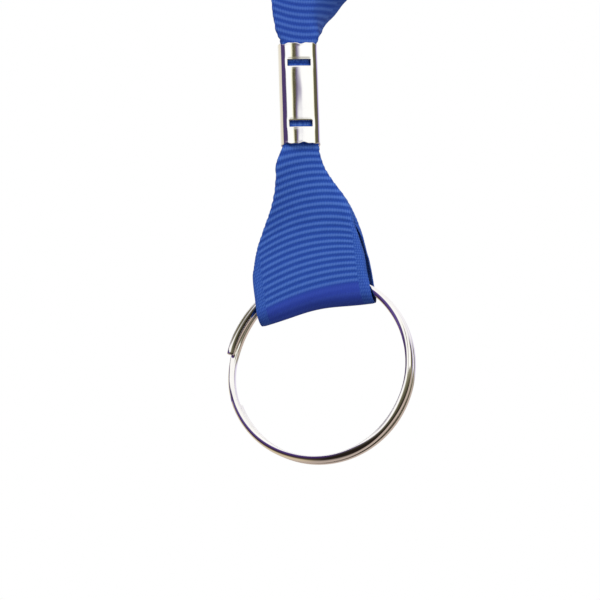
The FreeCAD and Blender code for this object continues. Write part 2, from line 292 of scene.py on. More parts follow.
CAMERA_DISTANCE = 1500.0
CAMERA_ELEVATION = math.radians(-10)
CAMERA_ROLL = math.radians(1.8)
VIEW_WIDTH = 99.3
VIEW_OFFSET = np.array([-3.1, 0.0, 11.5])


def make_camera():
    """Level with the crimp's front, below the part and looking up, far enough off to flatten it."""
    data = bpy.data.cameras.new("camera")
    data.lens = data.sensor_width * CAMERA_DISTANCE / VIEW_WIDTH
    camera = bpy.data.objects.new("camera", data)
    SCENE.collection.objects.link(camera)
    back = Vector((0, -math.cos(CAMERA_ELEVATION), math.sin(CAMERA_ELEVATION)))
    place = Vector(RING_CENTRE + VIEW_OFFSET) + back * CAMERA_DISTANCE
    tilt = Matrix.Rotation(math.pi / 2 + abs(CAMERA_ELEVATION), 4, "X")
    roll = Matrix.Rotation(-CAMERA_ROLL, 4, "Z")
    camera.matrix_world = Matrix.Translation(place * MM) @ tilt @ roll
    SCENE.camera = camera


# ------------------------------------------------------------ woven ribbon


def weave(u, v):
    """Height of the weave at each crossing: round ribs, and finer beads along both selvedges."""
    rib = (np.abs(np.sin(math.pi * v / RIB_PITCH)) ** RIB_SHARPNESS)[:, None]
    bead = np.abs(np.sin(2 * math.pi * v / RIB_PITCH))[:, None]
    edge = smooth(HALF - SELVEDGE - SELVEDGE_BLEND, HALF - SELVEDGE, np.abs(u))[None, :]
    return RIB_HEIGHT * (rib * (1 - edge) + BEAD_SHARE * bead * edge)


def cloth_sides(grid, u, v, relief):
    """Both faces of a strip whose middle surface is grid, which has a row for each v.

    relief says how high the weave stands in each row, from 0 to 1.
    """
    way_along, way_across = np.gradient(grid, axis=0), np.gradient(grid, axis=1)
    normal = np.cross(way_across, way_along)
    normal /= np.linalg.norm(normal, axis=2, keepdims=True)
    thin = 1 - EDGE_THINNING * smooth(HALF - EDGE_TAPER, HALF, np.abs(u))
    height = (CLOTH_HALF + weave(u, v) * relief[:, None]) * thin[None, :]
    return grid + normal * height[..., None], grid - normal * height[..., None]


class Cloth:
    """Gathers strips of ribbon into one closed mesh."""

    def __init__(self):
        self.points = []
        self.marks = []
        self.faces = []

    def add_points(self, grid, u, v, relief):
        """Adds a grid of points, and gives back their numbers in the same shape."""
        first = len(self.points)
        self.points.extend(grid.reshape(-1, 3).tolist())
        self.marks.extend((a, b, ribbed) for b, ribbed in zip(v, relief) for a in u)
        return first + np.arange(len(u) * len(v)).reshape(len(v), len(u))

    def fill(self, ids, turned):
        """Squares over a grid of point numbers."""
        squares = np.stack([ids[:-1, :-1], ids[:-1, 1:], ids[1:, 1:], ids[1:, :-1]], axis=-1)
        squares = squares.reshape(-1, 4)
        self.faces.extend((squares[:, ::-1] if turned else squares).tolist())

    def join(self, row_a, u_a, row_b, u_b, turned):
        """One row of faces between rows that have different numbers of points."""
        near = 1e-6
        shared = [x for x in u_a if np.abs(u_b - x).min() < near]
        for left, right in zip(shared, shared[1:]):
            lower = row_a[(u_a > left - near) & (u_a < right + near)].tolist()
            upper = row_b[(u_b > left - near) & (u_b < right + near)].tolist()
            face = lower + upper[::-1]
            self.faces.append(face[::-1] if turned else face)

    def add_ribbon(self, strips):
        """A closed ribbon from strips that follow each other, each (grid, u, v, relief)."""
        last = None
        for grid, u, v, relief in strips:
            sides = cloth_sides(grid, u, v, relief)
            faces = [self.add_points(side, u, v, relief) for side in sides]
            for ids, turned in zip(faces, (False, True)):
                self.fill(ids, turned)
            for column, turned in ((0, False), (-1, True)):
                self.fill(np.stack([faces[1][:, column], faces[0][:, column]], axis=1), turned)
            if last is None:
                self.fill(np.stack([faces[1][0], faces[0][0]]), False)
            else:
                for before, after, turned in zip(last[0], faces, (False, True)):
                    self.join(before[-1], last[1], after[0], u, turned)
                for column, turned in ((0, False), (-1, True)):
                    before = [last[0][1][-1][column], last[0][0][-1][column]]
                    after = [faces[1][0][column], faces[0][0][column]]
                    self.fill(np.array([before, after]), turned)
            last = (faces, u)
        self.fill(np.stack([last[0][0][-1], last[0][1][-1]]), False)

    def make(self, name):
        return build_mesh(name, self.points, self.faces, self.marks)


def turned_side(length, crease, radius, angle):
    """How far out and how far back points of a ply lie, whose cloth turns by angle on its way to crease.

    length is each point's distance along the cloth from the ply's middle.
    """
    start = crease - radius
    past = np.maximum(length - start, 0)
    bend = np.minimum(past, radius * angle)
    rest = past - bend
    spare = HALF - start - radius * angle
    room = 2 * crease - FLAP_MARGIN
    if math.cos(angle) < FOLDED_COSINE and spare > room:
        rest = rest * room / spare
    out = np.minimum(length, start) + radius * np.sin(bend / radius) + rest * math.cos(angle)
    back = radius * (1 - np.cos(bend / radius)) + rest * math.sin(angle)
    return out, back


def across_ply(u, left, right, left_turn, right_turn, right_radius=RIGHT_HEM):
    """Sideways place and depth of each column of a ply whose two sides are turned behind it."""
    left_out, left_back = turned_side(-u, left, LEFT_HEM, left_turn)
    right_out, right_back = turned_side(u, right, right_radius, right_turn)
    return np.where(u < 0, -left_out, right_out), np.where(u < 0, left_back, right_back)


# The coarse columns across the ribbon, as shares of its half width.
COLUMN_STOPS = (-1.0, -0.975, -0.87, -0.63, -0.32, 0.0, 0.32, 0.63, 0.87, 0.975, 1.0)


def columns(counts):
    """Places across the ribbon, with counts steps in each of its coarse columns."""
    found = [-HALF]
    for low, high, count in zip(COLUMN_STOPS, COLUMN_STOPS[1:], counts):
        found.extend(np.linspace(low, high, count + 1)[1:] * HALF)
    return np.array(found)


# ------------------------------------------------------------ neck ribbon


def route_line(route):
    """Points along the smooth curve that has the route as its control points."""
    curve = bpy.data.curves.new("neck_route", "CURVE")
    curve.dimensions = "3D"
    curve.resolution_u = 128
    spline = curve.splines.new("NURBS")
    spline.points.add(len(route) - 1)
    for point, (y, z) in zip(spline.points, route):
        point.co = (0, y * MM, z * MM, 1)
    spline.order_u = 3
    spline.use_endpoint_u = True
    holder = bpy.data.objects.new("neck_route", curve)
    SCENE.collection.objects.link(holder)
    bpy.context.view_layer.update()
    mesh = bpy.data.meshes.new_from_object(holder)
    points = [v.co.copy() for v in mesh.vertices]
    bpy.data.objects.remove(holder)
    bpy.data.meshes.remove(mesh)
    return points


# Steps in each coarse column near the crimp and in the rest, rows in each rib, how far above the
# crimp the fine columns end, how far the ribbon's ends run into it, and how high the weave stands.
NECK_FINE = (1, 3, 6, 8, 8, 8, 8, 6, 3, 1)
NECK_COARSE = (1,) * 10
NECK_ROWS = 4
GATHER_END = 30.0
TUCK = 3.85
NECK_RELIEF = 0.85
# Over these heights the gather opens, the right hem widens by HEM_GROWTH, and the ribbon hangs loose.
GATHERED = (10, 26)
HEM_GROWTH = 1.8
HEM_GROWS = (0, 5)
LOOSE = (12, 60)
# How far a loose ribbon rolls, cups and sways, each with the length over which it does.
ROLL, ROLL_LENGTH = 0.05, 47
CUP, CUP_LENGTH = 0.012, 83
SWAY, SWAY_LENGTH = 0.9, 140
# How the gathered ribs bow, from the place across where they are lowest.
BOW = 0.038
BOW_MIDDLE = 2.2
BOW_LIMIT = 4.0


def make_neck_ribbon():
    """The long ribbon: flat round the neck, with both ends gathered into the crimp's mouth."""
    path = route_line(NECK_ROUTE)
    line = in_mm(path)
    steps = np.linalg.norm(np.diff(line, axis=0), axis=1)
    reach = np.concatenate([[0], np.cumsum(steps)])
    length = reach[-1]
    clearance = line[0][2] - CRIMP_TOP[2]

    def at(s):
        """The route's place and direction at s, which may lie past either end."""
        inside = min(max(s, 0), length)
        behind, here, ahead = (
            np.array([np.interp(place, reach, line[:, k]) for k in range(3)])
            for place in (max(inside - 1, 0), inside, min(inside + 1, length))
        )
        way = unit(ahead - behind)
        return here + way * (s - inside), way

    def row(s, u):
        """Points across the ribbon at s along its route."""
        here, way = at(s)
        outward = np.array([0.0, -way[2], way[1]])
        front = s < length / 2
        height = (s if front else length - s) + clearance
        shape = along(FRONT_GATHER if front else BACK_GATHER, height)
        turns = np.radians(np.clip(shape[2:4], 0, 180))
        radius = RIGHT_HEM + (HEM_GROWTH * float(smooth(*HEM_GROWS, height)) if front else 0)
        x, back = across_ply(u, shape[0], shape[1], turns[0], turns[1], radius)
        loose = float(smooth(*LOOSE, height))
        roll = ROLL * loose * math.sin(s / ROLL_LENGTH)
        depth = shape[4] - back + x * roll + CUP * loose * x**2 * math.sin(s / CUP_LENGTH)
        sway = SWAY * loose * math.sin(s / SWAY_LENGTH * math.pi)
        gather = 1 - float(smooth(*GATHERED, height))
        bow = BOW * gather * (np.minimum(x, BOW_LIMIT) - BOW_MIDDLE) ** 2
        bow = bow if front else -bow
        return here + np.outer(x + sway, [1, 0, 0]) + np.outer(depth, outward) + np.outer(bow, way)

    step = RIB_PITCH / NECK_ROWS

    def strip(low, high, counts):
        u = columns(counts)
        v = np.arange(math.ceil(low / step), math.floor(high / step) + 1) * step
        grid = np.array([row(s, u) for s in v])
        return grid, u, v, np.full(len(v), NECK_RELIEF)

    cloth = Cloth()
    cloth.add_ribbon([
        strip(-TUCK - clearance, GATHER_END, NECK_FINE),
        strip(GATHER_END + step / 2, length - GATHER_END - step / 2, NECK_COARSE),
        strip(length - GATHER_END, length + TUCK + clearance, NECK_FINE),
    ])
    ribbon = cloth.make("neck_ribbon_cloth")
    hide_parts("neck_ribbon")
    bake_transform(ribbon)
    return ribbon


# ------------------------------------------------------------ loop below the crimp

# Steps in each coarse column, rows in each rib, and how far the plies run into the crimp.
LOOP_COLUMNS = (2, 4, 7, 9, 9, 9, 9, 7, 4, 2)
LOOP_ROWS = 8
LOOP_TUCK = 3.3
# A side of the loop's plies is folded right back where it is this much narrower than the ribbon's half.
FOLDED_BACK_BY = 1.6
# Where the loop's two pieces meet: the point, its drop below the crimp, and that in whole ribs.
CUT_POINT = RING_CENTRE + FOLD_ACROSS * FOLD_SHIFT + FOLD_UP * CUT_HEIGHT
CUT_DROP = float(np.linalg.norm(CUT_POINT - CRIMP_FOOT))
CUT_ROW = round(CUT_DROP / RIB_PITCH) * RIB_PITCH
FOLD_CENTRE = FOLD_BOTTOM + CLOTH_HALF + RIB_HEIGHT + FOLD_RADIUS


def loop_axes(drop):
    """Across, up and front directions of the loop, which turn from the crimp's to the fold's."""
    share = float(smooth(TWIST_START, CUT_DROP - TWIST_END, drop))
    across = unit(CRIMP_ACROSS * (1 - share) + FOLD_ACROSS * share)
    front = unit(CRIMP_FRONT * (1 - share) + RING_FRONT * share)
    return across, np.cross(front, across), front


def loop_section(drop, u, behind):
    """Sideways place, depth behind the face, the ply's offset, and the ribs' rise at each column.

    behind is 0 on the front ply and 1 on the back one. Each is drawn in a little on the right.
    """
    left, right, offset, tilt, arch = along(LOOP_SHAPE, drop)
    right -= BACK_TUCK * behind * float(smooth(*BACK_TUCK_COMES, drop))
    front_tuck = float(smooth(*FRONT_TUCK_COMES, drop) - smooth(*FRONT_TUCK_GOES, drop))
    right -= FRONT_TUCK * (1 - behind) * front_tuck
    turns = [math.pi * float(smooth(0, FOLDED_BACK_BY, HALF - reach)) for reach in (left, right)]
    x, back = across_ply(u, left, right, *turns)
    return x, back, offset, tilt * x - arch * x**2


def ply_row(drop, u, side):
    """One row of the front (side 1) or back (side -1) ply, above the cut."""
    across, up, front = loop_axes(drop)
    x, back, offset, rise = loop_section(drop, u, 0 if side > 0 else 1)
    spine = CRIMP_FOOT + unit(CUT_POINT - CRIMP_FOOT) * drop
    depth = side * (offset - back)
    return spine + np.outer(x, across) + np.outer(depth, front) + np.outer(rise, up)


def loop_rows(low, high):
    """Places along the ribbon, from low to high, with LOOP_ROWS in each rib."""
    step = RIB_PITCH / LOOP_ROWS
    return np.arange(round(low / step), round(high / step) + 1) * step


def make_loop_top():
    """Both plies between the crimp's mouth and the cut above the ring."""
    u = columns(LOOP_COLUMNS)
    cloth = Cloth()
    v = loop_rows(-LOOP_TUCK, CUT_ROW)
    full = np.ones(len(v))
    front, back = (np.array([ply_row(drop, u, side) for drop in v]) for side in (1, -1))
    cloth.add_ribbon([(front, u, v, full)])
    cloth.add_ribbon([(back[::-1], u, v[::-1], full)])
    piece = cloth.make("loop_ribbon_top")
    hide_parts("end_loop")
    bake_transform(piece)
    return piece


def make_loop_fold():
    """The ribbon's turn under the ring, from the cut in front round to the cut at the back."""
    u = columns(LOOP_COLUMNS)
    straight = CUT_DROP + CUT_HEIGHT - FOLD_CENTRE - CUT_ROW
    turn = math.pi * FOLD_RADIUS
    total = round((2 * straight + turn) / RIB_PITCH) * RIB_PITCH
    stretch = (total - turn) / (2 * straight)
    v = loop_rows(0, total)
    turn_start = straight * stretch
    middle = RING_CENTRE + FOLD_ACROSS * FOLD_SHIFT + FOLD_UP * FOLD_CENTRE

    def row(q):
        """Points across the ribbon at q along it: down the front, round the turn, and up the back.

        The ribs' rise moves a point along this path, and the underside's sag moves it down as well.
        """
        half = q if q < total / 2 else total - q
        drop = min(CUT_ROW + half / stretch, CUT_ROW + straight)
        x, back, offset, rise = loop_section(drop, u, float(smooth(total / 2, total - straight, q)))
        angle = np.clip((q - turn_start) / FOLD_RADIUS, 0, math.pi)
        low = float(smooth(CUT_ROW, CUT_ROW + straight, drop))
        sag = low * (FOLD_ARCH * x**2 + FOLD_WAVE * np.sin(math.pi * x / FOLD_WAVE_LENGTH) ** 2)
        moved = q - (rise + sag) * math.cos(angle)
        turned = np.clip((moved - turn_start) / FOLD_RADIUS, 0, math.pi)
        before = np.minimum(moved, turn_start) / stretch
        after = np.maximum(moved - turn_start - turn, 0) / stretch
        height = np.where(moved < total / 2, straight - before, after)
        height = height - FOLD_RADIUS * np.sin(turned) - sag
        depth = np.cos(turned) * (offset - back)
        return middle + np.outer(x, FOLD_ACROSS) + np.outer(depth, RING_FRONT) + np.outer(height, FOLD_UP)

    grid = np.array([row(q) for q in v])
    # This relief is also the ribbed mark, which paints the flattened band in shade.
    relief = FOLD_BAND_RELIEF + (1 - FOLD_BAND_RELIEF) * smooth(*FOLD_BAND, np.abs(v - total / 2))
    cloth = Cloth()
    cloth.add_ribbon([(grid, u, v, relief)])
    piece = cloth.make("loop_ribbon_fold")
    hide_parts("loop_fold")
    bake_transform(piece)
    return piece


# ------------------------------------------------------------ crimp

CRIMP_HALF_WIDTH = 3.25
CRIMP_HALF_DEPTH = 2.25
CRIMP_SQUARENESS = 2.9
CRIMP_WALL = 0.45
CRIMP_EDGE = 0.09
SEAM_HALF = 0.1
SLOT_HALF = 1.95
# The slots' upper and lower ends, below the crimp's top.
SLOTS = [(2.85, 3.85), (13.15, 14.15)]
# How far the face flares out at its lips and is pressed in beside its slots, and over what distance.
# The press fades sideways between the two places round the sleeve.
FLARE, FLARE_REACH = 0.03, 0.35
PRESS, PRESS_REACH = 0.045, 0.45
PRESS_FADES = (SLOT_HALF + 0.5, SLOT_HALF - 0.2)
# The height of its dents, and of the long and short waves of its lips.
BROAD_DENT = 0.008
FINE_DENT = 0.004
LIP_WAVE = 0.1
LIP_RIPPLE = 0.06
LIP_REACH = 0.6
# Steps round the sleeve from its seam, the second over the slots, and down it, the second and fourth
# over the slots.
OUTLINE_STEPS = (44, 26, 44)
LEVEL_STEPS = (18, 4, 36, 4, 18)

# The ribbon inside the crimp: its section, how high its ribs stand, how far its ends are from the
# crimp's, the rows in each rib, and the points and radius by which the weave runs round it.
CORE_HALF_WIDTH = 2.55
CORE_HALF_DEPTH = 1.5
CORE_SQUARENESS = 4.0
CORE_RIB = 0.11
CORE_TOP = 0.4
CORE_BOTTOM = 0.3
CORE_ROWS = 6
CORE_AROUND = 80
CORE_WEAVE_RADIUS = CORE_HALF_WIDTH + 0.05


def signed_power(value, power):
    """A power that keeps the value's sign."""
    return np.sign(value) * np.abs(value) ** power


def crimp_points(across, front, drop):
    """Points at places across and in front of the crimp's axis, and below its top."""
    return CRIMP_TOP + np.outer(across, CRIMP_ACROSS) + np.outer(front, CRIMP_FRONT) - np.outer(drop, UP)


def crimp_outline():
    """Points round the sleeve from the seam at the back, as (across, front), closer at the slots.

    The third array is each point's distance round the sleeve from the middle of its front.
    """
    t = np.linspace(0, 2 * math.pi, 2001)
    x = -CRIMP_HALF_WIDTH * signed_power(np.sin(t), 2 / CRIMP_SQUARENESS)
    y = -CRIMP_HALF_DEPTH * signed_power(np.cos(t), 2 / CRIMP_SQUARENESS)
    far = np.concatenate([[0], np.cumsum(np.hypot(np.diff(x), np.diff(y)))])
    total = far[-1]
    stops = [SEAM_HALF, total / 2 - SLOT_HALF, total / 2 + SLOT_HALF, total - SEAM_HALF]
    places = []
    for low, high, count in zip(stops, stops[1:], OUTLINE_STEPS):
        places.extend(np.linspace(low, high, count, endpoint=False))
    places.append(stops[-1])
    places = np.array(places)
    return np.interp(places, far, x), np.interp(places, far, y), places - total / 2


def crimp_levels():
    """Distances below the crimp's top, closer at the slots' ends."""
    levels = [0.0]
    stops = [0.0] + [end for slot in SLOTS for end in slot] + [CRIMP_LENGTH]
    for low, high, count in zip(stops, stops[1:], LEVEL_STEPS):
        levels.extend(np.linspace(low, high, count + 1)[1:])
    return levels


def sleeve_push(level, place):
    """How far the sleeve's face moves out at a level: at its lips, beside its slots, and in faint dents."""
    from_end = min(level, CRIMP_LENGTH - level)
    facing = smooth(*PRESS_FADES, np.abs(place))
    push = FLARE * np.exp(-((from_end / FLARE_REACH) ** 2)) * np.ones(len(place))
    for low, high in SLOTS:
        off = max(low - level, level - high, 0)
        push -= PRESS * math.exp(-((off / PRESS_REACH) ** 2)) * facing
    push += BROAD_DENT * np.sin(place * 0.9 + level * 0.35) * np.sin(level * 0.55 + 0.6)
    push += FINE_DENT * np.cos(place * 2.3 - level * 0.21)
    return push


def sleeve_drop(level, place):
    """How far below the crimp's top a level lies round the sleeve, whose lips are uneven."""
    from_end = min(level, CRIMP_LENGTH - level)
    lip = LIP_WAVE * np.sin(place * 2.1 + 0.8) + LIP_RIPPLE * np.sin(place * 4.3)
    inward = 1 if level < CRIMP_LENGTH / 2 else -1
    return level + lip * math.exp(-((from_end / LIP_REACH) ** 2)) * inward


def make_crimp():
    """A thin plated sleeve, with two lanced slots in front, uneven lips and its seam at the back."""
    x, y, place = crimp_outline()
    levels = crimp_levels()
    way_x, way_y = np.gradient(x), np.gradient(y)
    size = np.hypot(way_x, way_y)
    normal_x, normal_y = -way_y / size, way_x / size
    rows = []
    for level in levels:
        push = sleeve_push(level, place)
        drop = sleeve_drop(level, place)
        rows.append(crimp_points(x + normal_x * push, y + normal_y * push, drop))
    count = len(x)
    faces = []
    for i, (upper, lower) in enumerate(zip(levels, levels[1:])):
        in_slot = any(low < (upper + lower) / 2 < high for low, high in SLOTS)
        for j in range(count - 1):
            if in_slot and abs(place[j] + place[j + 1]) / 2 < SLOT_HALF:
                continue
            a = i * count + j
            faces.append((a, a + count, a + count + 1, a + 1))
    piece = build_mesh("crimp_sleeve", np.concatenate(rows), faces)
    wall = piece.modifiers.new("wall", "SOLIDIFY")
    wall.thickness = CRIMP_WALL * MM
    wall.offset = -1
    edge = piece.modifiers.new("edge", "BEVEL")
    edge.width = CRIMP_EDGE * MM
    edge.segments = 3
    edge.limit_method = "ANGLE"
    edge.angle_limit = SHARP_ANGLE
    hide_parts("crimp")
    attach(piece, "crimp")
    return piece


def make_core():
    """The folded ribbon inside the crimp, which shows through its slots."""
    t = np.linspace(0, 2 * math.pi, CORE_AROUND + 1)[:-1]
    wide = signed_power(np.cos(t), 2 / CORE_SQUARENESS)
    deep = signed_power(np.sin(t), 2 / CORE_SQUARENESS)
    around = t * CORE_WEAVE_RADIUS
    levels = np.arange(CORE_TOP, CRIMP_LENGTH - CORE_BOTTOM, RIB_PITCH / CORE_ROWS)
    rows = []
    marks = []
    for level in levels:
        rib = CORE_RIB * math.sqrt(abs(math.sin(math.pi * level / RIB_PITCH)))
        drop = np.full(len(t), level)
        rows.append(crimp_points((CORE_HALF_WIDTH + rib) * wide, (CORE_HALF_DEPTH + rib) * deep, drop))
        marks.extend((place, level, 1.0) for place in around)
    faces = tube_faces(len(levels), len(t), turned=True)
    piece = build_mesh("crimped_ribbon", np.concatenate(rows), faces, marks)
    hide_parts("ribbon_core")
    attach(piece, "crimp")
    return piece


# ------------------------------------------------------------ split ring

RING_RADIUS = 16.0
WIRE_WIDTH = 1.15
WIRE_DEPTH = 1.36
COIL_GAP = 0.08
WIRE_MIDDLE = RING_RADIUS - WIRE_WIDTH / 2
COIL_LIFT = (WIRE_DEPTH + COIL_GAP) / 2
# How round the faces are between the turns, where nothing shows.
FLAT_BULGE = 0.5
# Where the free end stops and joins the rest, and where the wire crosses from the back turn to the
# front one. Angles run round the ring from its right side and over the top, in degrees.
TIP_ANGLE = 168.0
JOIN_ANGLE = 110.0
RAMP_START = 158.0
RAMP_END = 200.0

# The wire's face by the angle round the ring: where it stands highest, from 0 at its inner side to 1 at
# its outer side, and how round it is on each side of that.
WIRE_FACE = [
    (0, 0.35, 0.8, 2.2),
    (25, 0.6, 0.8, 1.2),
    (110, 0.55, 2.4, 0.9),
    (168, 0.55, 2.4, 0.9),
    (174, 0.55, 1.5, 2.8),
    (188, 0.52, 1.0, 2.3),
    (205, 0.42, 0.5, 1.5),
    (225, 0.33, 0.4, 1.4),
    (250, 0.12, 0.4, 1.7),
    (270, 0.02, 0.4, 1.7),
    (290, 0.1, 0.4, 1.9),
    (312, 0.5, 0.3, 2.6),
    (340, 0.36, 0.3, 2.3),
    (360, 0.35, 0.8, 2.2),
]
# How far each turn strays outwards from a true circle, by the angle along the wire: the back turn
# first, then the front one.
TURN_STRAY = [
    (-160, 0.0),
    (-90, 0.04),
    (-48, 0.05),
    (0, 0.02),
    (60, 0.0),
    (110, -0.22),
    (150, -0.42),
    (170, -0.2),
    (193, 0.0),
    (270, 0.0),
    (300, -0.06),
    (318, -0.14),
    (345, -0.05),
    (380, 0.0),
    (470, -0.1),
    (508, -0.2),
    (528, 0.15),
]
# How far the face drops at its rounded corners, by the share of the wire's width from its inner side,
# with the plain places between them.
OUTER_CORNER = [(1.0, 0.26), (0.985, 0.13), (0.94, 0.04)]
INNER_CORNER = [(0.015, 0.035), (0.0, 0.1)]
FACE_PLACES = OUTER_CORNER + [(share, 0.0) for share in np.linspace(0.88, 0.06, 12)] + INNER_CORNER
# The sizes of the wire's last two sections, which round off its cut ends.
NEAR_END = 0.93
AT_END = 0.72


def face_line(crest, inner_bulge, outer_bulge):
    """One face of the wire's section, outer side first: how far out each point is and how far it drops."""
    found = []
    for share, corner in FACE_PLACES:
        bulge = outer_bulge if share > crest else inner_bulge
        drop = WIRE_WIDTH * bulge * (share - crest) ** 2 / 2
        found.append(((share - 0.5) * WIRE_WIDTH, drop + corner))
    return found


def wire_outline(front_share, angle):
    """The wire's section as (outwards, front), whose outer face is the rounder.

    front_share is 1 on the front turn, whose front is its outer face, and 0 on the back turn.
    """
    crest, inner, outer = along(WIRE_FACE, angle % 360)
    inner = FLAT_BULGE + (inner - FLAT_BULGE) * front_share
    outer = FLAT_BULGE + (outer - FLAT_BULGE) * front_share
    back_bulge = FLAT_BULGE + (1 - front_share)
    found = [(out, WIRE_DEPTH / 2 - drop) for out, drop in face_line(crest, inner, outer)]
    back = reversed(face_line(0.5, back_bulge, back_bulge))
    return found + [(out, drop - WIRE_DEPTH / 2) for out, drop in back]


def ring_way(angle):
    """The direction from the ring's centre at an angle round it."""
    a = math.radians(angle)
    return RING_ACROSS * math.cos(a) + UP * math.sin(a)


def ring_lift(angle):
    """How far in front of the ring's middle the wire lies: the back turn, the ramp, and the front turn."""
    return COIL_LIFT * (2 * float(smooth(RAMP_START, RAMP_END, angle)) - 1)


def wire(name, stations):
    """A length of ring wire through stations, each (angle round the ring, lift, size)."""
    points = []
    for angle, lift, size in stations:
        outward = ring_way(angle)
        middle = WIRE_MIDDLE + along(TURN_STRAY, angle)[0]
        outline = wire_outline(0.5 + 0.5 * lift / COIL_LIFT, angle)
        for out, front in outline:
            points.append(
                RING_CENTRE + outward * (middle + out * size) + RING_FRONT * (lift + front * size)
            )
    return build_mesh(name, points, tube_faces(len(stations), len(outline)))


def make_ring():
    """Both turns in one piece, and the free end of the front turn as another."""
    start = RAMP_END - 360
    angles = np.arange(start, JOIN_ANGLE + 360 + 0.5, 1.0)
    end = [(start - 0.45, -COIL_LIFT, AT_END), (start - 0.25, -COIL_LIFT, NEAR_END)]
    coils = wire("ring_coils", end + [(a, ring_lift(a), 1) for a in angles])
    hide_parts("split_ring")
    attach(coils, "split_ring")

    tip_end = TIP_ANGLE + 360
    free = [(a, COIL_LIFT, 1) for a in np.linspace(JOIN_ANGLE + 360, tip_end - 0.6, 60)]
    free += [(tip_end - 0.25, COIL_LIFT, NEAR_END), (tip_end - 0.05, COIL_LIFT, AT_END)]
    tip = wire("ring_free_tip", free)
    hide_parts("ring_free_end")

    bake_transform(tip)
    return coils, tip


# ------------------------------------------------------------ materials


class Nodes:
    """A node tree that is filled by short calls."""

    def __init__(self, tree):
        self.tree = tree
        tree.nodes.clear()

    def add(self, kind, inputs=None, **settings):
        """A node whose inputs are linked to sockets or set to plain values."""
        node = self.tree.nodes.new(kind)
        for name, value in settings.items():
            setattr(node, name, value)
        for name, value in (inputs or {}).items():
            if isinstance(value, bpy.types.NodeSocket):
                self.tree.links.new(value, node.inputs[name])
            else:
                node.inputs[name].default_value = value
        return node

    def math(self, operation, *values, clamp=False):
        """The result of a sum on sockets or plain values."""
        inputs = dict(enumerate(values))
        return self.add("ShaderNodeMath", inputs, operation=operation, use_clamp=clamp).outputs[0]

    def ramp(self, factor, stops):
        """A straight run of colours through stops, each (place from 0 to 1, colour)."""
        node = self.add("ShaderNodeValToRGB", {"Fac": factor})
        ramp = node.color_ramp
        while len(ramp.elements) < len(stops):
            ramp.elements.new(0.5)
        for element, (place, colour) in zip(ramp.elements, stops):
            element.position = place
            element.color = (*colour, 1)
        return node.outputs["Color"]


def new_material(name):
    """A material, and its node tree to be filled."""
    material = bpy.data.materials.new(name)
    material.use_nodes = True
    return material, Nodes(material.node_tree)


# The Mix node's colour sockets, which have the same names as its number sockets.
MIX_FIRST, MIX_SECOND, MIX_RESULT = 6, 7, 2


def mix(nodes, share, first, second):
    """The colour between two others."""
    inputs = {"Factor": share, MIX_FIRST: first, MIX_SECOND: second}
    return nodes.add("ShaderNodeMix", inputs, data_type="RGBA").outputs[MIX_RESULT]


def grey(level):
    return (level, level, level)


THREAD_PITCH = 0.27
# The darkest blue is painted shade in the rib grooves and the lightest is a painted highlight on the rib
# crests. The middle one is the ribbon's own blue.
GROOVE_SHADE_BLUE = (0.0145, 0.045, 0.265)
RIBBON_BLUE = (0.025, 0.076, 0.34)
CREST_HIGHLIGHT_BLUE = (0.066, 0.145, 0.45)
# The fold's colour is painted shade: a darker, more purple blue for the flattened underside of the fold.
FOLD_SHADE_BLUE = (0.026, 0.050, 0.33, 1)


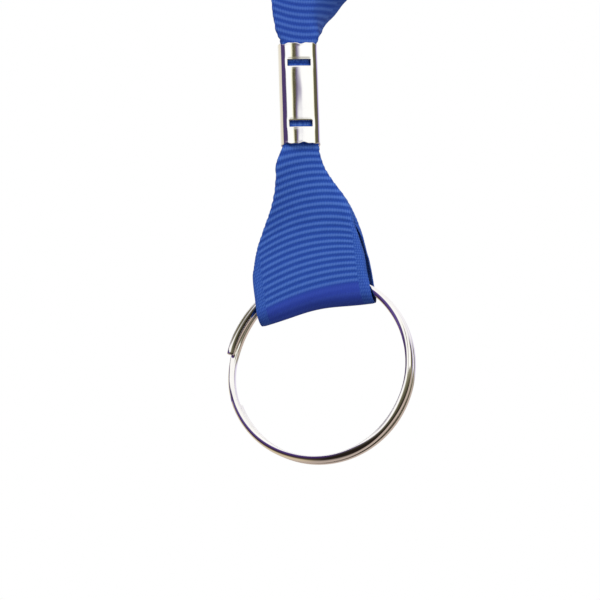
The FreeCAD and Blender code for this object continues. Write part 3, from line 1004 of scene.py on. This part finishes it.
def ribbon_material():
    """Royal blue grosgrain: warp threads over thick ribs, fuzz, and dye that varies a little, with painted
    highlights on the rib crests and selvedge beads, painted shade in the grooves, and painted shade on the
    fold's flattened underside.
    """
    material, nodes = new_material("grosgrain")
    uv = nodes.add("ShaderNodeUVMap", uv_map="weave").outputs["UV"]
    split = nodes.add("ShaderNodeSeparateXYZ", {"Vector": uv})
    u, v = split.outputs["X"], split.outputs["Y"]
    rib_count = nodes.math("DIVIDE", v, RIB_PITCH)
    rib = nodes.math("ABSOLUTE", nodes.math("SINE", nodes.math("MULTIPLY", rib_count, math.pi)))
    odd = nodes.math("MULTIPLY", nodes.math("FLOOR", rib_count), math.pi)
    threads = nodes.math("MULTIPLY", u, 2 * math.pi / THREAD_PITCH)
    warp = nodes.math("SINE", nodes.math("ADD", threads, odd))
    fuzz = nodes.add("ShaderNodeTexNoise", {"Vector": uv, "Scale": 7.0, "Detail": 5.0, "Roughness": 0.7})
    dye = nodes.add("ShaderNodeTexNoise", {"Vector": uv, "Scale": 0.45, "Detail": 3.0})

    bead = nodes.math("ABSOLUTE", nodes.math("SINE", nodes.math("MULTIPLY", rib_count, 2 * math.pi)))
    edge = nodes.math("SUBTRACT", nodes.math("ABSOLUTE", u), HALF - SELVEDGE)
    edge = nodes.math("MULTIPLY", edge, 4.0, clamp=True)
    # Painted highlight and shade: the tone rises towards each rib's crest, so the ramp paints the crests
    # light and the grooves dark.
    crest = nodes.math("MULTIPLY", nodes.math("POWER", rib, 2.5), 0.68)
    # Painted highlight: the selvedge beads are painted lighter on their tops, as the ribs are on their
    # crests.
    bead_highlight = nodes.math("MULTIPLY_ADD", bead, 0.25, 0.15)
    tone = nodes.add("ShaderNodeMix", {"Factor": edge, "A": crest, "B": bead_highlight}).outputs["Result"]
    tone = nodes.math("ADD", tone, nodes.math("MULTIPLY", warp, 0.22))
    tone = nodes.math("ADD", tone, nodes.math("MULTIPLY", fuzz.outputs["Fac"], 0.3))
    tone = nodes.math("ADD", tone, nodes.math("MULTIPLY", dye.outputs["Fac"], 0.2), clamp=True)
    colour = nodes.ramp(tone, [(0.15, GROOVE_SHADE_BLUE), (0.55, RIBBON_BLUE), (0.95, CREST_HIGHLIGHT_BLUE)])
    # Painted shade: where the weave is flattened, on the fold's underside band, the colour turns to the
    # fold's darker, more purple blue. The selvedges keep the rib tone.
    ribbed = nodes.add("ShaderNodeAttribute", attribute_name="ribbed").outputs["Fac"]
    ribbed = nodes.math("MAXIMUM", ribbed, nodes.math("MULTIPLY", edge, 0.8))
    colour = mix(nodes, ribbed, FOLD_SHADE_BLUE, colour)

    height = nodes.math("MULTIPLY", warp, 0.5)
    height = nodes.math("ADD", height, nodes.math("MULTIPLY", fuzz.outputs["Fac"], 1.2))
    bump = nodes.add("ShaderNodeBump", {"Height": height, "Strength": 0.9, "Distance": 0.00004})
    shader = nodes.add(
        "ShaderNodeBsdfPrincipled",
        {
            "Base Color": colour,
            "Normal": bump.outputs["Normal"],
            "Roughness": nodes.math("SUBTRACT", 0.85, nodes.math("MULTIPLY", rib, 0.15)),
            "Specular IOR Level": 0.06,
            "Sheen Weight": 0.12,
            "Sheen Roughness": 0.4,
            "Sheen Tint": (0.45, 0.62, 1.0, 1),
        },
    )
    nodes.add("ShaderNodeOutputMaterial", {"Surface": shader.outputs["BSDF"]})
    return material


# The plating's tints, and the roughness that is added to what its unevenness gives.
CRIMP_TINT, CRIMP_ROUGHNESS = (0.96, 0.95, 0.93), 0.03
RING_TINT, RING_ROUGHNESS = (0.93, 0.91, 0.88), 0.0


def plating_material(name, tint, roughness):
    """Bright nickel plate, with fine and broad unevenness in its gloss, and broad in tint and surface."""
    material, nodes = new_material(name)
    where = nodes.add("ShaderNodeTexCoord").outputs["Object"]
    fine = nodes.add(
        "ShaderNodeTexNoise", {"Vector": where, "Scale": 900.0, "Detail": 4.0, "Roughness": 0.6}
    )
    broad = nodes.add("ShaderNodeTexNoise", {"Vector": where, "Scale": 160.0, "Detail": 2.0})
    rough = nodes.math("MULTIPLY", fine.outputs["Fac"], 0.06)
    rough = nodes.math("ADD", rough, nodes.math("MULTIPLY", broad.outputs["Fac"], 0.05))
    rough = nodes.math("ADD", rough, roughness)
    bump = nodes.add(
        "ShaderNodeBump", {"Height": broad.outputs["Fac"], "Strength": 0.35, "Distance": 0.00008}
    )
    shade = nodes.ramp(broad.outputs["Fac"], [(0.3, tuple(c * 0.93 for c in tint)), (0.7, tint)])
    shader = nodes.add(
        "ShaderNodeBsdfPrincipled",
        {"Base Color": shade, "Metallic": 1.0, "Roughness": rough, "Normal": bump.outputs["Normal"]},
    )
    nodes.add("ShaderNodeOutputMaterial", {"Surface": shader.outputs["BSDF"]})
    return material


def dress(material, *pieces):
    """Gives pieces one material in place of any they had."""
    for piece in pieces:
        piece.data.materials.clear()
        piece.data.materials.append(material)


# ------------------------------------------------------------ studio

# The floor lies this far below the lanyard, in metres, and is wide enough to fill every view.
FLOOR_DROP = 0.30
FLOOR_RADIUS = 80.0


def make_floor():
    """A wide pale floor under the hanging lanyard, which the plating doesn't mirror."""
    low = CAD_BOX[0].z - FLOOR_DROP
    bpy.ops.mesh.primitive_circle_add(
        vertices=128, radius=FLOOR_RADIUS, fill_type="NGON", location=(0, 0, low)
    )
    floor = bpy.context.object
    floor.name = "floor"
    material, nodes = new_material("pale_floor")
    grain = nodes.add("ShaderNodeTexNoise", {"Scale": 30.0, "Detail": 3.0})
    shade = nodes.ramp(grain.outputs["Fac"], [(0.3, grey(0.86)), (0.7, grey(0.9))])
    shader = nodes.add(
        "ShaderNodeBsdfPrincipled",
        {
            "Base Color": shade,
            "Roughness": 0.8,
            "Emission Color": (*grey(1.0), 1),
            "Emission Strength": 0.4,
        },
    )
    nodes.add("ShaderNodeOutputMaterial", {"Surface": shader.outputs["BSDF"]})
    floor.visible_glossy = False
    floor.visible_diffuse = False
    dress(material, floor)


# What the plating mirrors, level with it: colours from behind, round by the left to the front in the
# middle, and round by the right to behind again.
CARDS_AROUND = [
    (0.0, (0.92, 0.90, 0.86)),
    (0.17, (0.80, 0.74, 0.60)),
    (0.228, (0.80, 0.74, 0.60)),
    (0.24, (0.075, 0.045, 0.15)),
    (0.385, (0.075, 0.045, 0.15)),
    (0.40, (1.1, 1.1, 1.1)),
    (0.480, (1.1, 1.1, 1.08)),
    (0.492, (1.0, 0.97, 0.70)),
    (0.498, (0.10, 0.09, 0.035)),
    (0.517, (0.10, 0.09, 0.045)),
    (0.520, (0.14, 0.09, 0.28)),
    (0.523, (0.14, 0.09, 0.28)),
    (0.525, (1.1, 1.1, 1.1)),
    (0.655, (1.1, 1.1, 1.08)),
    (0.667, (1.0, 0.97, 0.70)),
    (0.682, (0.12, 0.11, 0.06)),
    (0.80, (0.10, 0.09, 0.05)),
    (0.83, (0.20, 0.13, 0.38)),
    (0.87, (0.72, 0.66, 0.88)),
    (1.0, (0.92, 0.90, 0.92)),
]
# The same under it, on each side: colours from the front, down to behind.
CARDS_LOW_LEFT = [
    (0.5, (0.13, 0.08, 0.30)),
    (0.60, (0.06, 0.03, 0.13)),
    (0.68, (0.035, 0.02, 0.04)),
    (0.73, (0.12, 0.09, 0.05)),
    (0.76, (0.66, 0.54, 0.36)),
    (0.85, (0.74, 0.64, 0.48)),
    (1.0, (0.66, 0.54, 0.38)),
]
CARDS_LOW_RIGHT = [
    (0.5, (0.30, 0.28, 0.20)),
    (0.53, (0.14, 0.13, 0.08)),
    (0.59, (0.05, 0.045, 0.028)),
    (0.65, (0.018, 0.012, 0.010)),
    (0.74, (0.018, 0.012, 0.010)),
    (0.78, (0.50, 0.41, 0.36)),
    (1.0, (0.58, 0.47, 0.41)),
]
# And above it, from behind to the front.
CARDS_HIGH = [
    (0.0, (0.86, 0.80, 0.78)),
    (0.10, (0.86, 0.80, 0.78)),
    (0.14, (0.07, 0.05, 0.08)),
    (0.27, (0.07, 0.05, 0.08)),
    (0.31, (0.9, 0.9, 0.9)),
    (0.40, (0.9, 0.9, 0.9)),
    (0.43, (0.10, 0.06, 0.18)),
    (0.64, (0.10, 0.06, 0.18)),
    (0.67, (1.05, 1.05, 1.05)),
    (1.0, (1.1, 1.1, 1.1)),
]


def make_world():
    """White behind the object, soft light all round it, and a studio of cards for the plating."""
    world = bpy.data.worlds.new("studio")
    SCENE.world = world
    world.use_nodes = True
    nodes = Nodes(world.node_tree)
    way = nodes.add("ShaderNodeTexCoord").outputs["Generated"]
    split = nodes.add("ShaderNodeSeparateXYZ", {"Vector": way})
    x, y, z = (split.outputs[k] for k in "XYZ")
    forward = nodes.math("MULTIPLY", y, -1.0)
    turn = nodes.math("MULTIPLY_ADD", nodes.math("ARCTAN2", x, forward), 0.5 / math.pi, 0.5)
    around = nodes.ramp(turn, CARDS_AROUND)
    dip = nodes.math("MULTIPLY_ADD", nodes.math("ARCTAN2", z, forward), -0.5 / math.pi, 0.5)
    side = nodes.ramp(nodes.math("MULTIPLY_ADD", x, 0.5, 0.5), [(0.25, grey(0)), (0.36, grey(1))])
    below = mix(nodes, side, nodes.ramp(dip, CARDS_LOW_LEFT), nodes.ramp(dip, CARDS_LOW_RIGHT))
    height = nodes.math("MULTIPLY_ADD", z, 0.5, 0.5)
    low = nodes.ramp(height, [(0.515, grey(1)), (0.545, grey(0))])
    high = nodes.ramp(height, [(0.65, grey(0)), (0.71, grey(1))])
    above = nodes.ramp(nodes.math("MULTIPLY_ADD", forward, 0.5, 0.5), CARDS_HIGH)
    above = mix(nodes, side, above, (1.05, 1.05, 1.05, 1))
    cards = mix(nodes, low, around, below)
    cards = mix(nodes, high, cards, above)

    soft = nodes.ramp(height, [(0.0, grey(0.36)), (0.45, grey(0.37)), (0.8, grey(0.6)), (1.0, grey(0.72))])
    rays = nodes.add("ShaderNodeLightPath")
    lit = mix(nodes, rays.outputs["Is Glossy Ray"], soft, cards)
    seen = mix(nodes, rays.outputs["Is Camera Ray"], lit, (1.0, 1.0, 1.0, 1))
    background = nodes.add("ShaderNodeBackground", {"Color": seen, "Strength": 1.0})
    nodes.add("ShaderNodeOutputWorld", {"Surface": background.outputs["Background"]})


# What the lights face, which lies between the crimp and the ring. Then each light's name, its place in
# metres from there, its size and its watts.
LIGHT_TARGET = RING_CENTRE + UP * 20
LIGHTS = [
    ("key", (-0.5, -0.8, 0.9), 0.5, 12),
    ("fill", (0.9, -0.9, 0.1), 0.8, 9),
    ("rim", (0.1, 0.9, 0.7), 0.6, 8),
]


def make_light(name, place, size, watts):
    """A square soft light that faces the target."""
    data = bpy.data.lights.new(name, "AREA")
    data.size = size
    data.energy = watts
    light = bpy.data.objects.new(name, data)
    SCENE.collection.objects.link(light)
    target = Vector(in_metres(LIGHT_TARGET))
    light.location = target + Vector(place)
    light.rotation_euler = (target - light.location).to_track_quat("-Z", "Y").to_euler()
    light.visible_glossy = False


# ------------------------------------------------------------ the whole scene


def main():
    make_camera()
    neck = make_neck_ribbon()
    loop_top = make_loop_top()
    loop_fold = make_loop_fold()
    crimp = make_crimp()
    core = make_core()
    coils, tip = make_ring()
    dress(ribbon_material(), neck, loop_top, loop_fold, core)
    dress(plating_material("crimp_nickel", CRIMP_TINT, CRIMP_ROUGHNESS), crimp)
    dress(plating_material("ring_nickel", RING_TINT, RING_ROUGHNESS), coils, tip)
    make_floor()
    make_world()
    for light in LIGHTS:
        make_light(*light)
    SCENE.view_settings.view_transform = "Standard"


main()
